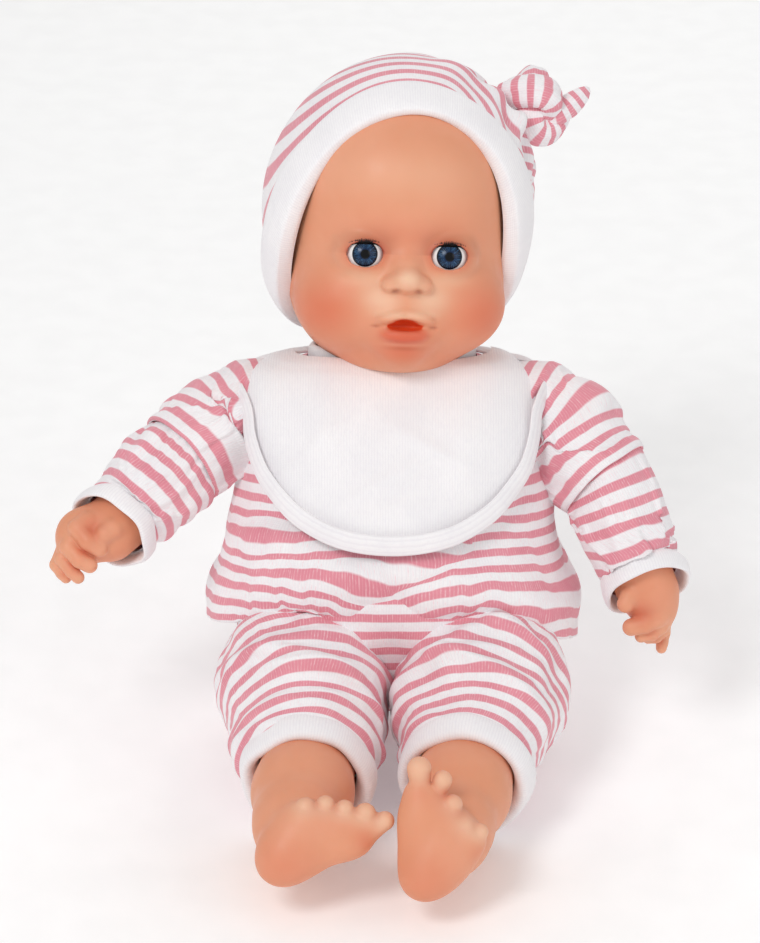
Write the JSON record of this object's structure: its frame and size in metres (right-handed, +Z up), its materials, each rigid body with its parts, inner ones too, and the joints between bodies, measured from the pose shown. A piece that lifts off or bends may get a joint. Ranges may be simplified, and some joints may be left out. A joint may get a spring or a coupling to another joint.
{
  "type": "interactive baby doll",
  "caption": "Seated soft-bodied baby doll with a vinyl head, sleeping eyes, vinyl hands and feet, striped pyjamas, bib, knotted hat and a press-to-sound module.",
  "frame": {"origin": "centre of the flat underside of the trouser seat, which stands on the floor", "axes": "+Z up, the doll faces -Y, +X towards the doll's own left hand"},
  "size_m": [0.2317, 0.2405, 0.2453],
  "materials": {
    "vinyl": "soft matt PVC vinyl, flesh tone with painted blush",
    "stripe": "pink and white striped cotton jersey, horizontal stripes about 7.7 mm apart",
    "white": "white cotton jersey and binding",
    "calico": "plain woven body cloth",
    "fibre": "polyester fibre filling in a cloth skin",
    "white_plastic": "moulded white plastic",
    "black_plastic": "moulded black plastic",
    "board": "green circuit laminate",
    "steel": "plain steel",
    "iris": "dark blue iris with a black pupil under a clear dome",
    "sclera": "glossy white eye ball, flesh-coloured lid over its top",
    "lash": "short black bristle",
    "mouth": "dark red mouth pocket",
    "lead": "small metal weight",
    "strap": "nylon tie"
  },
  "bodies": {
    "torso": {"body_skin": "calico", "body_stuffing": "fibre", "pyjama_top": "stripe", "collar_ribbing": "white", "bib_panel": "white", "bib_binding": "white", "trouser_seat": "stripe", "neck_ring": "white_plastic", "neck_cable_tie": "strap", "module_front_case": "white_plastic", "module_rear_case": "white_plastic", "circuit_board": "board", "speaker": "black_plastic", "battery_door": "white_plastic", "battery_door_screw": "steel", "battery_cell_1": "steel", "battery_cell_2": "steel", "battery_cell_3": "steel", "button_housing": "white_plastic", "button_spring": "steel", "sensor_cable": "black_plastic"},
    "tummy_button": {"tummy_button": "black_plastic"},
    "power_slider": {"power_slider": "black_plastic"},
    "head": {"head_shell": "vinyl", "mouth_liner": "mouth", "eye_socket_left": "white_plastic", "eye_socket_right": "white_plastic"},
    "hat": {"hat_crown": "stripe", "hat_brim": "white", "hat_knot": "stripe"},
    "eye_left": {"eyeball_left": "sclera", "iris_left": "iris", "eyelash_left": "lash", "eye_weight_left": "lead"},
    "upper_arm_left": {"upper_arm_left": "fibre", "sleeve_upper_left": "stripe"},
    "forearm_left": {"forearm_hand_left": "vinyl", "sleeve_lower_left": "stripe", "sleeve_cuff_left": "white"},
    "thigh_left": {"thigh_left": "fibre", "trouser_leg_left": "stripe", "trouser_cuff_left": "white"},
    "lower_leg_left": {"lower_leg_foot_left": "vinyl"},
    "eye_right": {"eyeball_right": "sclera", "iris_right": "iris", "eyelash_right": "lash", "eye_weight_right": "lead"},
    "upper_arm_right": {"upper_arm_right": "fibre", "sleeve_upper_right": "stripe"},
    "forearm_right": {"forearm_hand_right": "vinyl", "sleeve_lower_right": "stripe", "sleeve_cuff_right": "white"},
    "thigh_right": {"thigh_right": "fibre", "trouser_leg_right": "stripe", "trouser_cuff_right": "white"},
    "lower_leg_right": {"lower_leg_foot_right": "vinyl"}
  },
  "joints": [
    {"name": "neck_turn", "type": "hinge", "parent": "torso", "child": "head", "pos_m": [0, 0.01113, 0.14166], "axis": [0, 0.2588, 0.9659], "range_deg": [-60, 60]},
    {"name": "hat_off", "type": "slide", "parent": "head", "child": "hat", "axis": [-0.0435, 0.9388, 0.3416], "range_m": [0, 0.12]},
    {"name": "eye_left_sleep", "type": "hinge", "parent": "head", "child": "eye_left", "pos_m": [0.0191, -0.01715, 0.18832], "axis": [0.9956, 0.0692, -0.0635], "range_deg": [0, 48]},
    {"name": "shoulder_left", "type": "hinge", "parent": "torso", "child": "upper_arm_left", "pos_m": [0.056, -0.001, 0.119], "axis": [-1, 0, 0], "range_deg": [-30, 120]},
    {"name": "elbow_left", "type": "hinge", "parent": "upper_arm_left", "child": "forearm_left", "pos_m": [0.078, -0.017, 0.101], "axis": [-0.9379, -0.0842, -0.3367], "range_deg": [-15, 40]},
    {"name": "hip_left", "type": "hinge", "parent": "torso", "child": "thigh_left", "pos_m": [0.034, -0.048, 0.033], "axis": [1, 0, 0], "range_deg": [-5, 70]},
    {"name": "leg_swivel_left", "type": "hinge", "parent": "thigh_left", "child": "lower_leg_left", "pos_m": [0.027, -0.092, 0.027], "axis": [0.1858, 0.9807, 0.0602], "range_deg": [0, 50]},
    {"name": "eye_right_sleep", "type": "hinge", "parent": "head", "child": "eye_right", "pos_m": [-0.01037, -0.0192, 0.1902], "axis": [0.9956, 0.0692, -0.0635], "range_deg": [0, 48]},
    {"name": "shoulder_right", "type": "hinge", "parent": "torso", "child": "upper_arm_right", "pos_m": [-0.056, -0.001, 0.12], "axis": [-1, 0, 0], "range_deg": [-30, 120]},
    {"name": "elbow_right", "type": "hinge", "parent": "upper_arm_right", "child": "forearm_right", "pos_m": [-0.077, -0.016, 0.109], "axis": [-0.6728, 0.1794, 0.7177], "range_deg": [-15, 40]},
    {"name": "hip_right", "type": "hinge", "parent": "torso", "child": "thigh_right", "pos_m": [-0.034, -0.048, 0.033], "axis": [1, 0, 0], "range_deg": [-5, 70]},
    {"name": "leg_swivel_right", "type": "hinge", "parent": "thigh_right", "child": "lower_leg_right", "pos_m": [-0.0295, -0.092, 0.027], "axis": [-0.0845, -0.9953, -0.0469], "range_deg": [0, 50]},
    {"name": "tummy_press", "type": "slide", "parent": "torso", "child": "tummy_button", "axis": [0, 0.9659, -0.2588], "range_m": [0, 0.002], "stiffness_N_per_m": 1500, "springref_m": -0.0005, "deforming": ["button_spring"]},
    {"name": "power_switch", "type": "slide", "parent": "torso", "child": "power_slider", "axis": [1, 0, 0], "range_m": [0, 0.006]}
  ]
}
